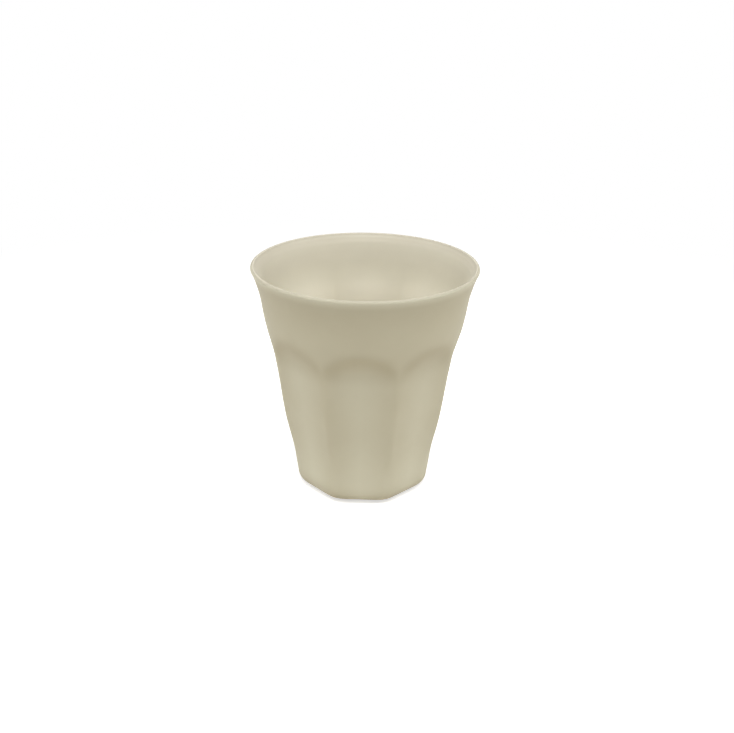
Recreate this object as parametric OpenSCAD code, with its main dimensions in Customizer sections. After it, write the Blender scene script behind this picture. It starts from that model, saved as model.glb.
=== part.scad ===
// A faceted ceramic cup without a handle. Flats cut a flared round form, and run out in arches
// under a plain round band. The clay wall carries a glaze coat inside, one outside and a patch
// under the base. The origin is the middle of the face that the cup stands on, and +Z is up.

/* [Cup] */
// Height from the table to the crown of the lip
cup_h = 91; // [84:1:110]
// Diameter across the outside of the lip
lip_d = 87; // [82:1:100]
// Diameter that the round form has at the base, which rounds off the ridges between the flats
base_round_d = 53.5; // [52.9:0.2:55.3]
// Radius of the rounded edge at the bottom of the glazed form
base_edge_r = 4.8; // [3.6:0.2:5.6]

/* [Flats] */
// Number of flats round the cup
flats_count = 8; // [6:1:10]
// Width across two opposite flats at the base
base_flats_w = 50.9; // [49.3:0.2:52.3]
// Width across two opposite flats where they have run out into the band
arch_flats_w = 85.2; // [83:0.2:88]
// Height at which the flats have run out into the band
arch_z = 73; // [67:1:77]

/* [Wall] */
// Thickness of the fired clay wall
clay_t = 1.7; // [1.4:0.1:3]
// Thickness of the glazed wall at the lip
lip_t = 1.6; // [1:0.1:1.8]
// Height under the crown of the lip over which the wall thins to that
thinning_h = 4.5; // [3:0.5:20]
// Thickness of the outer glaze coat
outer_glaze_t = 0.25; // [0.2:0.05:0.4]
// Thickness of the liner glaze coat
liner_glaze_t = 0.25; // [0.2:0.05:0.4]
// Height of the glazed floor inside, over the table
floor_z = 4.6; // [4:0.1:8]
// Radius of the corner between the floor and the inner wall
floor_corner_r = 6; // [4:0.5:9]

/* [Foot] */
// Diameter across the outside of the bare foot ring
foot_d = 41; // [38:0.5:42]
// Width of the foot ring, on which the cup stands
foot_w = 3; // [2:0.25:5]
// Distance that the foot ring stands proud of the glazed form
foot_h = 0.5; // [0.3:0.1:1]
// Height of the clay over the table, inside the foot ring
recess_z = 1.8; // [1.2:0.1:2.2]
// Thickness of the glaze patch inside the foot ring
base_glaze_t = 0.25; // [0.2:0.05:0.5]

/* [Hidden] */

// The flats: share of arch_z, and share of the widening from base_flats_w to arch_flats_w
flats_line_shares = [
  [0, 0],
  [0.137, 0.085],
  [0.27, 0.142],
  [0.438, 0.274],
  [0.606, 0.383],
  [0.753, 0.474],
  [0.832, 0.537],
  [0.921, 0.728],
  [1, 1],
];
// The round form: share of cup_h, and share of the widening from base_round_d to lip_d
round_line_shares = [
  [0, 0],
  [0.16, 0.115],
  [0.357, 0.335],
  [0.555, 0.499],
  [0.684, 0.62],
  [0.792, 0.733],
  [0.881, 0.81],
  [0.946, 0.906],
  [0.978, 0.966],
  [1, 1],
];
// Straight steps along each stretch of those lines, and round each small arc
line_steps = 2;
arc_steps = 5;
// Segments round the turned surfaces
turned_fn = 128;
// Overrun of cuts past the faces that they open
cut_over = 1;
// The flats' cutting shape reaches past the widest point of the cup
flats_reach = lip_d;

wall_t = clay_t + outer_glaze_t + liner_glaze_t;
lip_r = lip_t / 2;
crown_r = lip_d / 2 - lip_r;
foot_r = foot_d / 2;
recess_r = foot_r - foot_w;

clay_colour = "#d8cfb9";
outer_glaze_colour = "#c9c0a4";
liner_glaze_colour = "#d2cbb3";

// Knots of a line, as [radius, height], from its shares and its two ends
function knots(shares, base_r, end_r, end_z) = [
  for (s = shares) [base_r + s[1] * (end_r - base_r), s[0] * end_z]
];
flats_knots = knots(flats_line_shares, base_flats_w / 2, arch_flats_w / 2, arch_z);
round_knots = knots(round_line_shares, base_round_d / 2, lip_d / 2, cup_h);

// Slope of the line through the knots on either side of knot i, as radius over height
function knot_slope(line, i) =
  let (
    before = line[max(i - 1, 0)],
    after = line[min(i + 1, len(line) - 1)]
  )
  (after[0] - before[0]) / (after[1] - before[1]);

// The stretch of a line that holds the height z
function stretch(line, z, i = 0) =
  (i >= len(line) - 2 || z < line[i + 1][1]) ? i : stretch(line, z, i + 1);

// Radius of the smooth line through the knots at height z
function line_radius(line, z) =
  let (
    i = stretch(line, z),
    low = line[i],
    high = line[i + 1],
    rise = high[1] - low[1],
    t = (z - low[1]) / rise
  )
  (2 * pow(t, 3) - 3 * pow(t, 2) + 1) * low[0]
  + (pow(t, 3) - 2 * pow(t, 2) + t) * rise * knot_slope(line, i)
  + (3 * pow(t, 2) - 2 * pow(t, 3)) * high[0]
  + (pow(t, 3) - pow(t, 2)) * rise * knot_slope(line, i + 1);

// Lean of the line from upright at height z, from the chord over a hundredth of the stretch
function line_lean(line, z) =
  let (
    i = stretch(line, z),
    chord = (line[i + 1][1] - line[i][1]) / 100
  )
  atan((line_radius(line, z + chord) - line_radius(line, z - chord)) / (2 * chord));

// Point of the line at height z, moved inwards square to the line: by depth low on the wall, and
// by lip_depth at the lip
function inset_point(line, z, depth, lip_depth) =
  let (
    lean = line_lean(line, z),
    t = min((cup_h - z) / thinning_h, 1),
    d = lip_depth + (depth - lip_depth) * pow(t, 2) * (3 - 2 * t)
  )
  [line_radius(line, z) - d * cos(lean), z + d * sin(lean)];

function arc(centre, r, from, to) = [
  for (k = [0 : arc_steps])
    let (a = from + (to - from) * k / arc_steps)
    centre + r * [cos(a), sin(a)]
];

// Outline of a form from its bottom corner up to height top_z: the line moved inwards by depth,
// or by lip_depth at the lip, on a rounded corner that meets it smoothly and ends level with the
// bottom
function outline(line, depth, lip_depth, bottom_z, corner_r, top_z) =
  let (
    lean = line_lean(line, bottom_z + corner_r),
    corner_z = bottom_z + corner_r * (1 - sin(lean)),
    start_z = corner_z - depth * sin(lean),
    start = inset_point(line, start_z, depth, lip_depth),
    centre = start - corner_r * [cos(lean), -sin(lean)],
    first = stretch(line, start_z)
  )
  concat(
    arc(centre, corner_r, -90, -lean),
    [
      for (i = [first : len(line) - 2])
        for (k = [1 : line_steps])
          let (z = line[i][1] + (line[i + 1][1] - line[i][1]) * k / line_steps)
          if (z > start_z + corner_r / arc_steps && z <= top_z)
            inset_point(line, z, depth, lip_depth)
    ]
  );

lip_lean = line_lean(round_knots, cup_h - 2 * lip_r);
lip_centre = [crown_r, cup_h - lip_r];
// Height at which the round line ends and the lip's own rounding starts
lip_start_z = cup_h - lip_r - lip_r * sin(lip_lean);

// Everything inside the turned outer surface, moved inwards by depth
module turned_form(depth) {
  rotate_extrude($fn = turned_fn)
    polygon(concat(
      [[0, foot_h + depth]],
      outline(round_knots, depth, depth, foot_h + depth, base_edge_r - depth,
        lip_start_z - lip_r),
      arc(lip_centre, lip_r - depth, -lip_lean, 90),
      [[0, cup_h - depth]]
    ));
}

// Everything inside the turned inner surface, which grows by grow into the wall
module turned_hollow(grow, top_z) {
  rotate_extrude($fn = turned_fn)
    polygon(concat(
      [[0, floor_z - grow]],
      outline(round_knots, wall_t - grow, lip_t - grow, floor_z - grow, floor_corner_r + grow,
        lip_start_z - lip_r),
      arc(lip_centre, lip_r - grow, 180 - lip_lean, 90),
      [[crown_r, top_z], [0, top_z]]
    ));
}

// Keeps what lies inside the flats, moved inwards by depth, or by lip_depth at the lip
module inside_flats(depth, lip_depth, bottom_z, corner_r) {
  intersection() {
    children();
    intersection_for (k = [0 : flats_count - 1])
      rotate(360 * k / flats_count - 90)
        rotate([90, 0, 0])
          linear_extrude(height = 2 * flats_reach, center = true)
            polygon(concat(
              [[-flats_reach, bottom_z]],
              outline(flats_knots, depth, lip_depth, bottom_z, corner_r, arch_z),
              [
                [flats_reach, arch_z],
                [flats_reach, cup_h + cut_over],
                [-flats_reach, cup_h + cut_over]
              ]
            ));
  }
}

// The filled outer form, and the hollow inside it
module outer_form(depth) {
  inside_flats(depth, depth, foot_h + depth, base_edge_r - depth) turned_form(depth);
}

module hollow_form(grow, top_z) {
  inside_flats(wall_t - grow, lip_t - grow, floor_z - grow, floor_corner_r + grow)
    turned_hollow(grow, top_z);
}

module clay_body() {
  color(clay_colour)
    difference() {
      union() {
        outer_form(outer_glaze_t);
        cylinder(h = recess_z + base_edge_r, r = foot_r, $fn = turned_fn);
      }
      hollow_form(liner_glaze_t, cup_h + cut_over);
      translate([0, 0, -cut_over])
        cylinder(h = recess_z + cut_over, r = recess_r, $fn = turned_fn);
    }
}

module liner_glaze() {
  color(liner_glaze_colour)
    difference() {
      hollow_form(liner_glaze_t, cup_h);
      hollow_form(0, cup_h + cut_over);
    }
}

module outer_glaze() {
  color(outer_glaze_colour)
    difference() {
      outer_form(0);
      outer_form(outer_glaze_t);
      translate([0, 0, cup_h - lip_r])
        cylinder(h = lip_r + cut_over, r = crown_r, $fn = turned_fn);
      cylinder(h = foot_h + base_edge_r, r = foot_r, $fn = turned_fn);
    }
}

module base_glaze() {
  color(outer_glaze_colour)
    translate([0, 0, recess_z - base_glaze_t])
      cylinder(h = base_glaze_t, r = recess_r, $fn = turned_fn);
}

clay_body();
liner_glaze();
outer_glaze();
base_glaze();
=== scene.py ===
import math

import bmesh
import bpy
from mathutils import Matrix, Vector


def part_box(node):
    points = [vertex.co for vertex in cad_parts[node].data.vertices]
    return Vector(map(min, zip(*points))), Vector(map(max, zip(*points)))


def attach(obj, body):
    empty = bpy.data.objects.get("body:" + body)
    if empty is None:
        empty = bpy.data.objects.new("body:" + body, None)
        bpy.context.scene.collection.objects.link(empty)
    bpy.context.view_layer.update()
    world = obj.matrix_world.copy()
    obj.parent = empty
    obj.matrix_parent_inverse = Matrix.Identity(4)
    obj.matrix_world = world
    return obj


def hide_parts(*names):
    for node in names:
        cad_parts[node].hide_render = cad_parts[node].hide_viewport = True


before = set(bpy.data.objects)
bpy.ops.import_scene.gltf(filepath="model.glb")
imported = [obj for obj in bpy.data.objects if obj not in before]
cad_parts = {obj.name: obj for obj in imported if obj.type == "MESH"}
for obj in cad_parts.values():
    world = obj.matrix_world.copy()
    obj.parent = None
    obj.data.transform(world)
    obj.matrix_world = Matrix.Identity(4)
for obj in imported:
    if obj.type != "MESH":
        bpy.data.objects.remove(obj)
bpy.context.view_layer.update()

mm = 0.001  # every length in this file is in metres
outerLow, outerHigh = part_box("outer_glaze")
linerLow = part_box("liner_glaze")[0]
patchLow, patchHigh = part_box("base_glaze")

# The form that the clay and its coats share: a turned form, with flats pressed into it
cup = {
    "height": outerHigh.z,
    "lipRadius": (outerHigh.y - outerLow.y) / 2,
    "wall": 2.2 * mm,
    "lip": 1.6 * mm,  # thickness of the wall at the lip
    "thinning": 4.5 * mm,  # height under the lip over which the wall thins to it
    "coat": patchHigh.z - patchLow.z,  # thickness of a glaze coat
    "baseRadius": 26.75 * mm,  # of the turned form, at the table
    "flatRadius": 25.45 * mm,  # from the axis to a flat, at the table
    "archRadius": 42.6 * mm,  # the same at archHeight, where the flats have run out
    "archHeight": 73 * mm,
    "flatCount": 8,
    "softness": 0.3 * mm,  # how gently a flat blends into the turned form outside
    "innerSoftness": 2.5 * mm,  # the same inside, where the cast clay fills the edges in
    "edge": 4.8 * mm,  # rounding at the bottom of the outer wall
    "floorEdge": 6 * mm,  # rounding between the floor and the inner wall
    # share of the height, and share of the widening from baseRadius to lipRadius
    "turnedShares": [
        (0, 0), (0.16, 0.118), (0.357, 0.368), (0.555, 0.499), (0.684, 0.62),
        (0.792, 0.733), (0.881, 0.81), (0.946, 0.906), (0.978, 0.966), (1, 1),
    ],
    # share of archHeight, and share of the widening from flatRadius to archRadius
    "flatShares": [
        (0, 0), (0.137, 0.085), (0.27, 0.142), (0.438, 0.274), (0.606, 0.383),
        (0.753, 0.474), (0.832, 0.537), (0.921, 0.728), (1, 1),
    ],
}

# The foot ring, and the shallow recess inside it
foot = {
    "radius": 20.5 * mm,
    "innerRadius": patchHigh.x,
    "height": outerLow.z,  # from the table to the glazed form
    "recess": patchHigh.z,
    "edge": 0.45 * mm,  # rounding of the ring's two edges
    "meniscus": 0.5 * mm,  # how far the glaze patch climbs the ring
}

# How finely the coats are turned
turning = {
    "stepsPerFlat": 32,  # round the cup
    "rise": 0.6 * mm,  # between two rings of a wall that shows
    "hiddenRise": 3 * mm,  # the same on faces between clay and glaze
    "arcSteps": 9,  # along each small rounding
    "floorSteps": 6,  # from the axis to the rim of the glazed floor
    "hiddenFloorSteps": 3,  # the same on the liner's underside
    "clayFloorSteps": 5,
    "recessSteps": 5,  # from the axis to the foot ring, under the cup
    "mergeGap": 0.001 * mm,  # points closer than this become one
}


def knotsOf(shares, baseRadius, endRadius, endHeight):
    return [(baseRadius + s[1] * (endRadius - baseRadius), s[0] * endHeight) for s in shares]


turnedKnots = knotsOf(cup["turnedShares"], cup["baseRadius"], cup["lipRadius"], cup["height"])
flatKnots = knotsOf(cup["flatShares"], cup["flatRadius"], cup["archRadius"], cup["archHeight"])


def knotSlope(line, i):
    before = line[max(i - 1, 0)]
    after = line[min(i + 1, len(line) - 1)]
    return (after[0] - before[0]) / (after[1] - before[1])


def radiusAt(line, height):
    # a smooth curve through the knots, carried on straight past the last one
    i = 0
    while i < len(line) - 2 and height >= line[i + 1][1]:
        i += 1
    low, high = line[i], line[i + 1]
    rise = high[1] - low[1]
    t = (height - low[1]) / rise
    if t > 1:
        return high[0] + (height - high[1]) * knotSlope(line, i + 1)
    return (
        (2 * t**3 - 3 * t**2 + 1) * low[0]
        + (t**3 - 2 * t**2 + t) * rise * knotSlope(line, i)
        + (3 * t**2 - 2 * t**3) * high[0]
        + (t**3 - t**2) * rise * knotSlope(line, i + 1)
    )


def leanAt(height):
    # how far the turned form leans out from upright, from two points close to each other
    step = 0.1 * mm
    growth = radiusAt(turnedKnots, height + step) - radiusAt(turnedKnots, height - step)
    return math.atan(growth / (2 * step))


def ease(value, start, end):
    # 0 before start, 1 past end, and smooth between them
    t = min(max((value - start) / (end - start), 0), 1)
    return t * t * (3 - 2 * t)


def insetPoint(height, depth, lipDepth):
    # a point of the wall, moved inwards; the depth changes near the lip, where the wall thins
    lean = leanAt(height)
    depth = lipDepth + (depth - lipDepth) * ease(cup["height"] - height, 0, cup["thinning"])
    radius = radiusAt(turnedKnots, height) - depth * math.cos(lean)
    return Vector((radius, height + depth * math.sin(lean)))


def arc(centre, radius, start, end):
    steps = turning["arcSteps"]
    angles = [start + (end - start) * k / steps for k in range(steps + 1)]
    return [centre + radius * Vector((math.cos(a), math.sin(a))) for a in angles]


lipRounding = cup["lip"] / 2
lipLean = leanAt(cup["height"] - 2 * lipRounding)
lipCentre = Vector((cup["lipRadius"] - lipRounding, cup["height"] - lipRounding))
lipStart = lipCentre.y - lipRounding * math.sin(lipLean)  # height where the rounding starts


def wallPath(depth, lipDepth, bottom, corner, rise):
    # one side of the wall as (radius, height), from its bottom corner to just under the lip
    lean = leanAt(bottom + corner)
    start = bottom + corner * (1 - math.sin(lean)) - depth * math.sin(lean)
    first = insetPoint(start, depth, lipDepth)
    centre = first - corner * Vector((math.cos(lean), -math.sin(lean)))
    count = math.ceil((lipStart - start) / rise)
    heights = [start + (lipStart - start) * k / count for k in range(1, count)]
    side = [insetPoint(height, depth, lipDepth) for height in heights]
    return arc(centre, corner, -math.pi / 2, -lean) + side


def outerPath(depth, rise):
    path = wallPath(depth, depth, foot["height"] + depth, cup["edge"] - depth, rise)
    return path + arc(lipCentre, lipRounding - depth, -lipLean, math.pi / 2)


def innerPath(grow, rise):
    # the hollow's side, grown into the wall by grow
    floor = linerLow.z + cup["coat"] - grow
    depth = cup["wall"] - grow
    path = wallPath(depth, cup["lip"] - grow, floor, cup["floorEdge"] + grow, rise)
    return path + arc(lipCentre, lipRounding - grow, math.pi - lipLean, math.pi / 2)


floorRim = innerPath(0, turning["rise"])[0].x  # where the floor starts to curve up


def spokes(radius, height, count):
    # points from the axis out along a level face, up to but without its rim
    return [Vector((radius * k / count, height)) for k in range(count)]


halfFlat = math.pi / cup["flatCount"]  # angle from the middle of a flat to its ridge


def angleFromFlat(angle):
    # one flat faces the camera, along -Y
    return (angle + math.pi / 2 + halfFlat) % (2 * halfFlat) - halfFlat


def formRadii(angle, height):
    # radius of the turned form, and of the flats' planes, in that direction
    turned = radiusAt(turnedKnots, height)
    flat = radiusAt(flatKnots, height) / math.cos(angleFromFlat(angle))
    return turned, flat


def softLeast(first, second, soft):
    # the smaller of two radii, with the change from one to the other smoothed
    least = min(first, second)
    return least - soft * math.log(
        math.exp((least - first) / soft) + math.exp((least - second) / soft)
    )


def pressedRadius(radius, angle, height):
    # where a point of the turned form lies once the flats are pressed in
    turned, flat = formRadii(angle, height)
    if height > linerLow.z - cup["coat"] / 2 and radius < turned - cup["wall"] / 2:
        # in the hollow the clay fills in the ridges, less and less towards the lip
        filled = softLeast(turned, flat, cup["innerSoftness"])
        nearLip = ease(height, cup["archHeight"], lipStart)
        pressed = filled + (min(turned, flat) - filled) * nearLip
        weight = radius / floorRim
    else:
        # under the cup the flats fade out towards the foot ring, which stays round
        pressed = softLeast(turned, flat, cup["softness"])
        rim = cup["baseRadius"] - cup["edge"]
        weight = (radius - foot["radius"]) / (rim - foot["radius"])
    return radius + min(max(weight, 0), 1) * (pressed - turned)


# How thick the glaze lies, as a share, with painted light and shade added into the same share:
# first on the plain wall, then what each place adds to it.
# Outside, painted shade darkens the band, the arches, the top of the wall and the edge at the
# bottom; painted light brightens it low down; a painted highlight lies just under the lip; and
# it is darker along the ridges
outerCoatAndShading = {
    "wall": 0.77,
    # painted shade on the band under the flared lip, which gets less light from above
    "band": -0.19,
    "bandStart": 53 * mm,
    "bandEnd": 63 * mm,
    # painted shade, darker towards the lip
    "lip": -0.13,
    "lipStart": 71 * mm,
    # painted highlight on the lip's outer rounding, which faces up to the light
    "roll": 0.53,
    "highlightReach": 4 * mm,  # down from the crown of the lip
    # painted light, brighter low down, as from the pale table
    "foot": 0.27,
    "footRise": 19 * mm,
    "bottom": -0.7,  # painted shade round the edge at the bottom, which faces down
    "bottomRise": 4.5 * mm,
    # darker along the ridges, below the band
    "ridge": -0.21,
    "ridgeWidth": 8.5 * mm,
    # painted shade along the arches, where the flats curve out into the band
    "archShade": -0.27,
    "archInset": 0.7 * mm,  # the painted shade is darkest where the flat is pressed in this deep
    "archWidth": 1.5 * mm,
    "bare": 0.85,  # how far it greys on the very edge of the lip: partly the glaze breaking where the clay shows, partly painted shade that dims the lip's highlight
    "bareReach": 0.6 * mm,
}
linerCoatAndShading = {
    "wall": 0.45,
    "litBelt": 0.25,  # painted light: lighter well under the lip
    "beltHeight": 75 * mm,
    "beltWidth": 6 * mm,
    "roll": 0.13,  # a lighter line close under the lip
    "paleLineHeight": 86.8 * mm,
    "paleLineWidth": 1.7 * mm,
    # painted shade, darker towards the lip, where the flared wall faces up to the light
    "lip": -0.2,
    "lipStart": 85 * mm,
    # the same greying of the lip's edge inside: partly the glaze breaking, partly painted shade
    "bare": 0.38,
    "bareReach": 0.7 * mm,
}


def bell(value, width):
    # 1 at nought, fading smoothly to either side
    return math.exp(-(value / width) ** 2)


def outerCoatAndShadingShare(point):
    angle = math.atan2(point.y, point.x)
    turned, flat = formRadii(angle, point.z)
    fromRidge = (halfFlat - abs(angleFromFlat(angle))) * min(turned, flat)
    fromArch = flat - turned + outerCoatAndShading["archInset"]
    high = ease(point.z, outerCoatAndShading["bandStart"], outerCoatAndShading["bandEnd"])
    highlightStart = cup["height"] - outerCoatAndShading["highlightReach"]
    return (
        outerCoatAndShading["wall"]
        + outerCoatAndShading["band"] * high
        + outerCoatAndShading["lip"] * ease(point.z, outerCoatAndShading["lipStart"], cup["height"])
        + outerCoatAndShading["roll"] * ease(point.z, highlightStart, cup["height"])
        + outerCoatAndShading["foot"] * bell(point.z, outerCoatAndShading["footRise"])
        + outerCoatAndShading["bottom"] * bell(point.z, outerCoatAndShading["bottomRise"])
        + outerCoatAndShading["ridge"] * (1 - high) * bell(fromRidge, outerCoatAndShading["ridgeWidth"])
        + outerCoatAndShading["archShade"] * high * bell(fromArch, outerCoatAndShading["archWidth"])
    )


def patchCoatShare(point):
    # the patch lies level under the cup, so its tone is taken as even
    return outerCoatAndShading["wall"]


def linerCoatAndShadingShare(point):
    return (
        linerCoatAndShading["wall"]
        + linerCoatAndShading["litBelt"] * bell(point.z - linerCoatAndShading["beltHeight"], linerCoatAndShading["beltWidth"])
        + linerCoatAndShading["roll"] * bell(point.z - linerCoatAndShading["paleLineHeight"], linerCoatAndShading["paleLineWidth"])
        + linerCoatAndShading["lip"] * ease(point.z, linerCoatAndShading["lipStart"], cup["height"])
    )


def layCoatAndShading(piece, coat, shareAt):
    # both shares are stored on the mesh, for the glaze's material to read
    # the coat share: the glaze's thickness with painted light and shade
    coatAndShading = piece.data.attributes.new("coat", "FLOAT", "POINT")
    coatAndShading.data.foreach_set("value", [shareAt(vert.co) for vert in piece.data.vertices])
    bare = piece.data.attributes.new("bare", "FLOAT", "POINT")
    bare.data.foreach_set("value", [
        coat["bare"] * bell(cup["height"] - vert.co.z, coat["bareReach"])
        for vert in piece.data.vertices
    ])


def turnedPiece(name, path, closed, node):
    bm = bmesh.new()
    verts = [bm.verts.new((p.x, 0, p.y)) for p in path]
    pairs = list(zip(verts, verts[1:]))
    if closed:
        pairs.append((verts[-1], verts[0]))
    edges = [bm.edges.new(pair) for pair in pairs]
    bmesh.ops.spin(
        bm, geom=verts + edges, cent=(0, 0, 0), axis=(0, 0, 1), angle=2 * math.pi,
        steps=turning["stepsPerFlat"] * cup["flatCount"], use_merge=True,
    )
    bmesh.ops.remove_doubles(bm, verts=bm.verts, dist=turning["mergeGap"])
    for vert in bm.verts:
        angle = math.atan2(vert.co.y, vert.co.x)
        radius = math.hypot(vert.co.x, vert.co.y)
        if radius > 0:
            vert.co.xy *= pressedRadius(radius, angle, vert.co.z) / radius
    bmesh.ops.recalc_face_normals(bm, faces=bm.faces)
    for face in bm.faces:
        face.smooth = True
    mesh = bpy.data.meshes.new(name)
    bm.to_mesh(mesh)
    bm.free()
    piece = bpy.data.objects.new(name, mesh)
    bpy.context.collection.objects.link(piece)
    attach(piece, "root")
    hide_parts(node)
    print(name, len(mesh.vertices), "points")
    return piece


def makeClay():
    edge = foot["edge"]
    ring = [Vector((foot["innerRadius"], foot["recess"]))]
    ring += arc(Vector((foot["innerRadius"] + edge, edge)), edge, math.pi, 1.5 * math.pi)
    ring += arc(Vector((foot["radius"] - edge, edge)), edge, -math.pi / 2, 0)
    ring.append(Vector((foot["radius"], foot["height"] + cup["coat"])))
    under = spokes(foot["innerRadius"], foot["recess"], turning["recessSteps"]) + ring
    outside = outerPath(cup["coat"], turning["hiddenRise"])
    inside = innerPath(cup["coat"], turning["hiddenRise"])
    floor = spokes(inside[0].x, inside[0].y, turning["clayFloorSteps"])
    path = under + outside + inside[::-1][1:] + floor[::-1]
    return turnedPiece("clay_body_shaped", path, False, "clay_body")


def makeLinerGlaze():
    shown = innerPath(0, turning["rise"])
    hidden = innerPath(cup["coat"], turning["hiddenRise"])
    floor = spokes(shown[0].x, shown[0].y, turning["floorSteps"])
    underside = spokes(hidden[0].x, hidden[0].y, turning["hiddenFloorSteps"])
    path = floor + shown + hidden[::-1] + underside[::-1]
    piece = turnedPiece("liner_glaze_coat", path, False, "liner_glaze")
    layCoatAndShading(piece, linerCoatAndShading, linerCoatAndShadingShare)
    return piece


def makeOuterGlaze():
    shown = outerPath(0, turning["rise"])
    hidden = outerPath(cup["coat"], turning["hiddenRise"])
    path = [Vector((foot["radius"], shown[0].y))] + shown
    path += hidden[::-1] + [Vector((foot["radius"], hidden[0].y))]
    piece = turnedPiece("outer_glaze_coat", path, True, "outer_glaze")
    layCoatAndShading(piece, outerCoatAndShading, outerCoatAndShadingShare)
    return piece


def makeBaseGlaze():
    # the patch thickens where it climbs the ring, as a melted glaze does
    climb = foot["meniscus"]
    corner = Vector((foot["innerRadius"] - climb, patchLow.z - climb))
    path = spokes(corner.x, patchLow.z, turning["recessSteps"])
    path += arc(corner, climb, math.pi / 2, 0)
    path += [Vector((foot["innerRadius"], patchHigh.z)), Vector((0, patchHigh.z))]
    piece = turnedPiece("base_glaze_patch", path, False, "base_glaze")
    layCoatAndShading(piece, outerCoatAndShading, patchCoatShare)
    return piece


clay = makeClay()
liner = makeLinerGlaze()
outer = makeOuterGlaze()
patch = makeBaseGlaze()


def colour(hexText):
    # an sRGB hex colour as the linear one that a shader takes
    parts = [int(hexText[i:i + 2], 16) / 255 for i in (1, 3, 5)]
    linear = [c / 12.92 if c <= 0.04045 else ((c + 0.055) / 1.055) ** 2.4 for c in parts]
    return (*linear, 1)


def perMetre(size):
    # noise scale that gives features of that size
    return 1 / size


def addNode(tree, kind, settings=None, links=None):
    node = tree.nodes.new(kind)
    for key, value in (settings or {}).items():
        if key in node.inputs:
            node.inputs[key].default_value = value
        else:
            setattr(node, key, value)
    for key, source in (links or {}).items():
        tree.links.new(source, node.inputs[key])
    return node


def newMaterial(name):
    material = bpy.data.materials.new(name)
    material.use_nodes = True
    material.node_tree.nodes.clear()
    return material, material.node_tree


# Poured and fired satin glazes: buff where they lie thin and where painted shade falls, paler
# where they lie thick and where painted light falls.
# Where one breaks over the lip, the clay shows through and greys it, and the same grey is also
# painted shade that dims the lip's highlight
outerGlaze = {
    "brokenAndShaded": "#aaa491",
    "thinAndShaded": "#a99b78",
    "thickAndLit": "#d8d2b8",
    "mottle": 0.08,  # how far the tone wanders, as a share of the coat
    "mottleSize": 14 * mm,
    "mottleDetail": 3,
    "rippleSize": 5 * mm,
    "rippleDepth": 0.01 * mm,
    "rippleDetail": 1,
    "roughness": 0.62,
    "ior": 1.5,
}
linerGlaze = {
    "brokenAndShaded": "#aaa491",
    "thinAndShaded": "#b5ad9a",
    "thickAndLit": "#e3dfcd",
    "mottle": 0.08,
    "mottleSize": 14 * mm,
    "mottleDetail": 3,
    "rippleSize": 5 * mm,
    "rippleDepth": 0.01 * mm,
    "rippleDetail": 1,
    "roughness": 0.5,
    "ior": 1.5,
}
# Unglazed fired clay: matt, with a fine grain
firedClay = {
    "tone": "#cfc6b2",
    "grain": "#c2b8a2",
    "grainSize": 0.5 * mm,
    "grainDepth": 0.03 * mm,
    "grainDetail": 4,
    "roughness": 0.85,
}
# the colour sockets of a Mix node, whose names its other sockets share
firstColour, secondColour, mixedColour = 6, 7, 2


def satinGlaze(name, glaze):
    material, tree = newMaterial(name)
    place = addNode(tree, "ShaderNodeTexCoord").outputs["Object"]
    # the coat share carries painted light and shade along with the glaze's tone
    coat = addNode(tree, "ShaderNodeAttribute", {"attribute_name": "coat"})
    # a soft cloudiness, as of a glaze that was poured
    cloud = addNode(
        tree, "ShaderNodeTexNoise",
        {"Scale": perMetre(glaze["mottleSize"]), "Detail": glaze["mottleDetail"]},
        {"Vector": place},
    )
    wander = addNode(
        tree, "ShaderNodeMapRange",
        {"To Min": -glaze["mottle"], "To Max": glaze["mottle"]},
        {"Value": cloud.outputs["Fac"]},
    )
    share = addNode(tree, "ShaderNodeMath", {"operation": "ADD"})
    tree.links.new(coat.outputs["Fac"], share.inputs[0])
    tree.links.new(wander.outputs["Result"], share.inputs[1])
    whole = addNode(
        tree, "ShaderNodeMix", {"data_type": "RGBA"}, {"Factor": share.outputs["Value"]}
    )
    whole.inputs[firstColour].default_value = colour(glaze["thinAndShaded"])
    whole.inputs[secondColour].default_value = colour(glaze["thickAndLit"])
    # greying of the lip's edge: partly the glaze breaking, partly painted shade that dims its
    # highlight
    bare = addNode(tree, "ShaderNodeAttribute", {"attribute_name": "bare"})
    tone = addNode(
        tree, "ShaderNodeMix", {"data_type": "RGBA"}, {"Factor": bare.outputs["Fac"]}
    )
    tree.links.new(whole.outputs[mixedColour], tone.inputs[firstColour])
    tone.inputs[secondColour].default_value = colour(glaze["brokenAndShaded"])
    # the faint waviness of a melted coat, which breaks up its sheen
    ripple = addNode(
        tree, "ShaderNodeTexNoise",
        {"Scale": perMetre(glaze["rippleSize"]), "Detail": glaze["rippleDetail"]},
        {"Vector": place},
    )
    bump = addNode(
        tree, "ShaderNodeBump",
        {"Strength": 1, "Distance": glaze["rippleDepth"]},
        {"Height": ripple.outputs["Fac"]},
    )
    shader = addNode(
        tree, "ShaderNodeBsdfPrincipled",
        {"Roughness": glaze["roughness"], "IOR": glaze["ior"]},
        {"Base Color": tone.outputs[mixedColour], "Normal": bump.outputs["Normal"]},
    )
    addNode(tree, "ShaderNodeOutputMaterial", links={"Surface": shader.outputs["BSDF"]})
    return material


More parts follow.
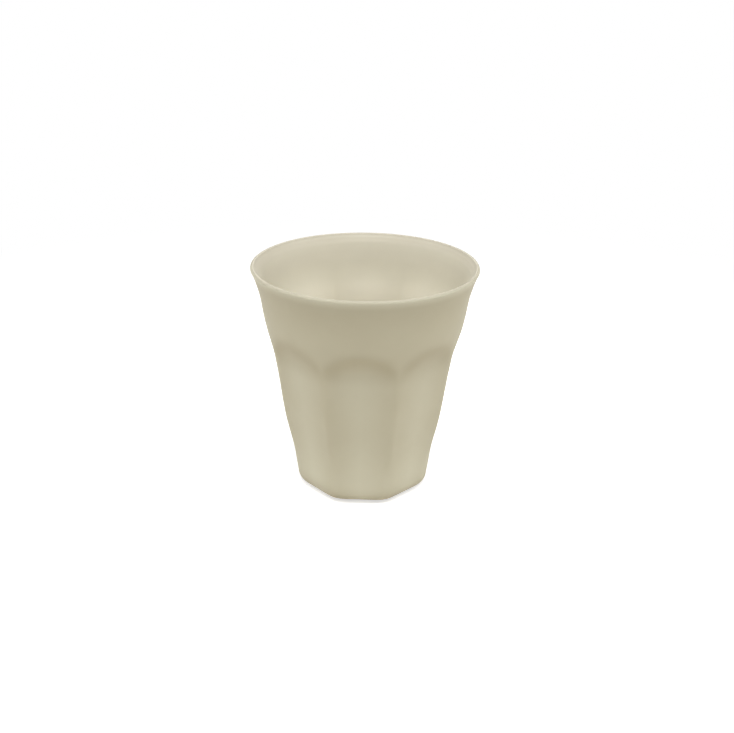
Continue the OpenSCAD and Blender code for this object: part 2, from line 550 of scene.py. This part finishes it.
def bareClay(name, clayLook):
    material, tree = newMaterial(name)
    place = addNode(tree, "ShaderNodeTexCoord").outputs["Object"]
    grain = addNode(
        tree, "ShaderNodeTexNoise",
        {"Scale": perMetre(clayLook["grainSize"]), "Detail": clayLook["grainDetail"]},
        {"Vector": place},
    )
    tone = addNode(
        tree, "ShaderNodeMix", {"data_type": "RGBA"}, {"Factor": grain.outputs["Fac"]}
    )
    tone.inputs[firstColour].default_value = colour(clayLook["tone"])
    tone.inputs[secondColour].default_value = colour(clayLook["grain"])
    bump = addNode(
        tree, "ShaderNodeBump",
        {"Strength": 1, "Distance": clayLook["grainDepth"]},
        {"Height": grain.outputs["Fac"]},
    )
    shader = addNode(
        tree, "ShaderNodeBsdfPrincipled",
        {"Roughness": clayLook["roughness"]},
        {"Base Color": tone.outputs[mixedColour], "Normal": bump.outputs["Normal"]},
    )
    addNode(tree, "ShaderNodeOutputMaterial", links={"Surface": shader.outputs["BSDF"]})
    return material


outerGlazeMaterial = satinGlaze("satin_outer_glaze", outerGlaze)
for piece, material in (
    (clay, bareClay("bare_fired_clay", firedClay)),
    (liner, satinGlaze("satin_liner_glaze", linerGlaze)),
    (outer, outerGlazeMaterial),
    (patch, outerGlazeMaterial),
):
    piece.data.materials.append(material)
print("materials done")

# The photograph's camera, fitted to the cup's outline
view = {
    "distance": 347.2 * mm,
    "height": 200.75 * mm,
    "turn": math.radians(2.07),  # round the cup, from square on to a flat
    "pitch": math.radians(23.72),
    "pan": math.radians(0.2),
    "roll": math.radians(0.75),
    "focalPixels": 952.6,  # the lens's focal length, in the photograph's pixels
    "photoWidth": 734,
    "nearest": 10 * mm,  # it shows nothing nearer than this
}


def makeCamera():
    data = bpy.data.cameras.new("camera")
    data.sensor_fit = "HORIZONTAL"
    data.lens = data.sensor_width * view["focalPixels"] / view["photoWidth"]
    data.clip_start = view["nearest"]
    camera = bpy.data.objects.new("camera", data)
    bpy.context.collection.objects.link(camera)
    place = Vector((0, -view["distance"], view["height"]))
    turn = Matrix.Rotation(view["turn"], 4, "Z")
    aim = Matrix.Rotation(-view["pan"], 4, "Z")
    tilt = Matrix.Rotation(math.pi / 2 - view["pitch"], 4, "X")
    lean = Matrix.Rotation(view["roll"], 4, "Z")
    camera.matrix_world = turn @ Matrix.Translation(place) @ aim @ tilt @ lean
    bpy.context.scene.camera = camera


studio = {
    "floorRadius": 3.0,
    "floorSegments": 64,
    "floorColour": "#e6e6e6",
    "floorGlow": 0.6,  # added to the floor as seen, so that it reads as white
    "shadowNear": 0.12,  # from here out the floor as seen turns to plain white
    "shadowFar": 0.4,
    "world": 0.1,  # strength of the white light from all round
    # soft lamps: degrees round the cup from its front, degrees up from level, and watts
    "lamps": {
        "top_light": {"turn": 0, "rise": 68, "power": 7.75},
        "right_light": {"turn": 90, "rise": 45, "power": 3.8},
        "left_light": {"turn": 270, "rise": 45, "power": 3.3},
        "back_light": {"turn": 180, "rise": 45, "power": 1.8},
    },
    "lampDistance": 1.0,
    "lampSize": 0.55,
}


def seenRays(tree):
    # 1 for rays from the camera, and for those that a surface mirrors or lets through
    rays = addNode(tree, "ShaderNodeLightPath").outputs
    total = rays["Is Camera Ray"]
    for name in ("Is Glossy Ray", "Is Transmission Ray"):
        greater = addNode(tree, "ShaderNodeMath", {"operation": "MAXIMUM"})
        tree.links.new(total, greater.inputs[0])
        tree.links.new(rays[name], greater.inputs[1])
        total = greater.outputs["Value"]
    return total


def makeFloor():
    bm = bmesh.new()
    bmesh.ops.create_circle(
        bm, cap_ends=True, segments=studio["floorSegments"], radius=studio["floorRadius"]
    )
    mesh = bpy.data.meshes.new("floor")
    bm.to_mesh(mesh)
    bm.free()
    floor = bpy.data.objects.new("floor", mesh)
    bpy.context.collection.objects.link(floor)
    material, tree = newMaterial("pale_floor")
    paint = addNode(
        tree, "ShaderNodeBsdfDiffuse", {"Color": colour(studio["floorColour"])}
    )
    glow = addNode(tree, "ShaderNodeEmission", {"Strength": studio["floorGlow"]})
    near = addNode(tree, "ShaderNodeAddShader")
    tree.links.new(paint.outputs["BSDF"], near.inputs[0])
    tree.links.new(glow.outputs["Emission"], near.inputs[1])
    white = addNode(tree, "ShaderNodeEmission", {"Strength": 1})
    place = addNode(tree, "ShaderNodeTexCoord").outputs["Object"]
    away = addNode(
        tree, "ShaderNodeVectorMath", {"operation": "LENGTH"}, {"Vector": place}
    )
    fade = addNode(
        tree, "ShaderNodeMapRange",
        {
            "interpolation_type": "SMOOTHSTEP",
            "From Min": studio["shadowNear"],
            "From Max": studio["shadowFar"],
        },
        {"Value": away.outputs["Value"]},
    )
    shown = addNode(tree, "ShaderNodeMixShader", links={"Fac": fade.outputs["Result"]})
    tree.links.new(near.outputs["Shader"], shown.inputs[1])
    tree.links.new(white.outputs["Emission"], shown.inputs[2])
    mixed = addNode(tree, "ShaderNodeMixShader", links={"Fac": seenRays(tree)})
    tree.links.new(paint.outputs["BSDF"], mixed.inputs[1])
    tree.links.new(shown.outputs["Shader"], mixed.inputs[2])
    addNode(tree, "ShaderNodeOutputMaterial", links={"Surface": mixed.outputs["Shader"]})
    mesh.materials.append(material)


def makeLamp(name, lamp):
    data = bpy.data.lights.new(name, "AREA")
    data.shape = "DISK"
    data.size = studio["lampSize"]
    data.energy = lamp["power"]
    light = bpy.data.objects.new(name, data)
    bpy.context.collection.objects.link(light)
    turn = math.radians(lamp["turn"])
    rise = math.radians(lamp["rise"])
    away = Vector((
        math.sin(turn) * math.cos(rise),
        -math.cos(turn) * math.cos(rise),
        math.sin(rise),
    ))
    light.location = Vector((0, 0, cup["height"] / 2)) + away * studio["lampDistance"]
    light.rotation_euler = (-away).to_track_quat("-Z", "Y").to_euler()


def makeWorld():
    world = bpy.data.worlds.new("studio")
    bpy.context.scene.world = world
    world.use_nodes = True
    tree = world.node_tree
    tree.nodes.clear()
    white = colour("#ffffff")
    room = addNode(
        tree, "ShaderNodeBackground", {"Color": white, "Strength": studio["world"]}
    )
    seen = addNode(tree, "ShaderNodeBackground", {"Color": white, "Strength": 1})
    mixed = addNode(tree, "ShaderNodeMixShader", links={"Fac": seenRays(tree)})
    tree.links.new(room.outputs["Background"], mixed.inputs[1])
    tree.links.new(seen.outputs["Background"], mixed.inputs[2])
    addNode(tree, "ShaderNodeOutputWorld", links={"Surface": mixed.outputs["Shader"]})


makeCamera()
makeFloor()
makeWorld()
for lampName, lamp in studio["lamps"].items():
    makeLamp(lampName, lamp)
bpy.context.scene.view_settings.view_transform = "Standard"
print("stage done")
